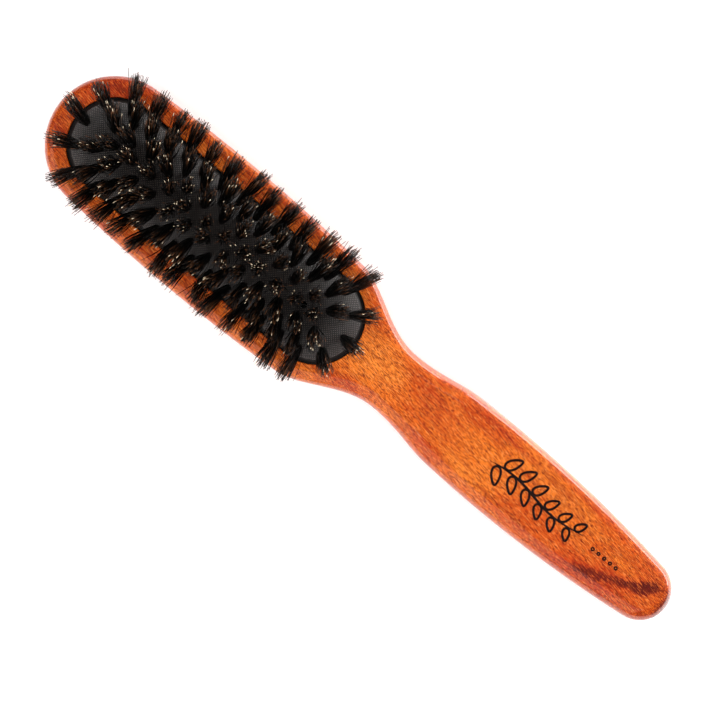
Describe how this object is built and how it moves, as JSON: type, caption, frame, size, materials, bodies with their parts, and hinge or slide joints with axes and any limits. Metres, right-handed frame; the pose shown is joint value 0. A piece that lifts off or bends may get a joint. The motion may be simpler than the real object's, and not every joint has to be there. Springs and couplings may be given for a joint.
{
  "type": "vanity hairbrush",
  "caption": "Cushioned hairbrush: one-piece wooden head and handle, domed rubber cushion faced with woven cloth, and stapled bristle tufts that sink and tilt as the cushion is pressed.",
  "frame": {"origin": "under the middle of the wooden body, on the flat back that the brush lies on", "axes": "+X runs along the brush from the nose of the head to the butt of the handle, +Z points out of the bristle face"},
  "size_m": [0.222, 0.0418, 0.0348],
  "materials": {
    "wood": "stained beech under gloss lacquer",
    "rubber": "smooth satin black",
    "cloth": "fine black plain weave bonded to the rubber",
    "bristle": "black bristle with golden-brown flagged tips",
    "staple": "drawn steel wire"
  },
  "bodies": {
    "brush": {"wooden_body": "wood", "rubber_cushion": "rubber", "cushion_cloth": "cloth"},
    "row_1_of_tufts": {"tuft_row_1": "bristle", "staple_row_1": "staple"},
    "row_2_of_tufts": {"tuft_row_2": "bristle", "staple_row_2": "staple"},
    "row_3_of_tufts": {"tuft_row_3": "bristle", "staple_row_3": "staple"},
    "row_4_of_tufts": {"tuft_row_4": "bristle", "staple_row_4": "staple"},
    "row_5_of_tufts": {"tuft_row_5": "bristle", "staple_row_5": "staple"},
    "row_6_of_tufts": {"tuft_row_6": "bristle", "staple_row_6": "staple"},
    "row_7_of_tufts": {"tuft_row_7": "bristle", "staple_row_7": "staple"},
    "nose_tuft_group": {"nose_tufts": "bristle", "nose_staples": "staple"},
    "neck_tuft_group": {"neck_tufts": "bristle", "neck_staples": "staple"}
  },
  "joints": [
    {"name": "cushion_press", "type": "slide", "parent": "brush", "child": "row_4_of_tufts", "axis": [0, 0, -1], "range_m": [0, 0.003], "stiffness_N_per_m": 1700, "deforming": ["rubber_cushion", "cushion_cloth"]},
    {"name": "row_1_tilt", "type": "hinge", "parent": "brush", "child": "row_1_of_tufts", "pos_m": [-0.05405, -0.01575, 0.016], "axis": [-1, 0, 0], "range_deg": [0, 15.5]},
    {"name": "row_2_tilt", "type": "hinge", "parent": "brush", "child": "row_2_of_tufts", "pos_m": [-0.05405, -0.0208, 0.016], "axis": [-1, 0, 0], "range_deg": [0, 9.7]},
    {"name": "row_3_tilt", "type": "hinge", "parent": "brush", "child": "row_3_of_tufts", "pos_m": [-0.05405, -0.0385, 0.016], "axis": [-1, 0, 0], "range_deg": [0, 4.7]},
    {"name": "row_5_tilt", "type": "hinge", "parent": "brush", "child": "row_5_of_tufts", "pos_m": [-0.05405, 0.0385, 0.016], "axis": [1, 0, 0], "range_deg": [0, 4.7]},
    {"name": "row_6_tilt", "type": "hinge", "parent": "brush", "child": "row_6_of_tufts", "pos_m": [-0.05405, 0.0208, 0.016], "axis": [1, 0, 0], "range_deg": [0, 9.7]},
    {"name": "row_7_tilt", "type": "hinge", "parent": "brush", "child": "row_7_of_tufts", "pos_m": [-0.05405, 0.01575, 0.016], "axis": [1, 0, 0], "range_deg": [0, 15.5]},
    {"name": "nose_tilt", "type": "hinge", "parent": "brush", "child": "nose_tuft_group", "pos_m": [-0.10705, 0, 0.016], "axis": [0, 1, 0], "range_deg": [0, 14.8]},
    {"name": "neck_tilt", "type": "hinge", "parent": "brush", "child": "neck_tuft_group", "pos_m": [-0.00105, 0, 0.016], "axis": [0, -1, 0], "range_deg": [0, 14.8]}
  ],
  "couplings": [
    {"joint": "row_1_tilt", "follows": "cushion_press", "rad_per_m": 90},
    {"joint": "row_2_tilt", "follows": "cushion_press", "rad_per_m": 56},
    {"joint": "row_3_tilt", "follows": "cushion_press", "rad_per_m": 27},
    {"joint": "row_5_tilt", "follows": "cushion_press", "rad_per_m": 27},
    {"joint": "row_6_tilt", "follows": "cushion_press", "rad_per_m": 56},
    {"joint": "row_7_tilt", "follows": "cushion_press", "rad_per_m": 90},
    {"joint": "nose_tilt", "follows": "cushion_press", "rad_per_m": 86},
    {"joint": "neck_tilt", "follows": "cushion_press", "rad_per_m": 86}
  ]
}
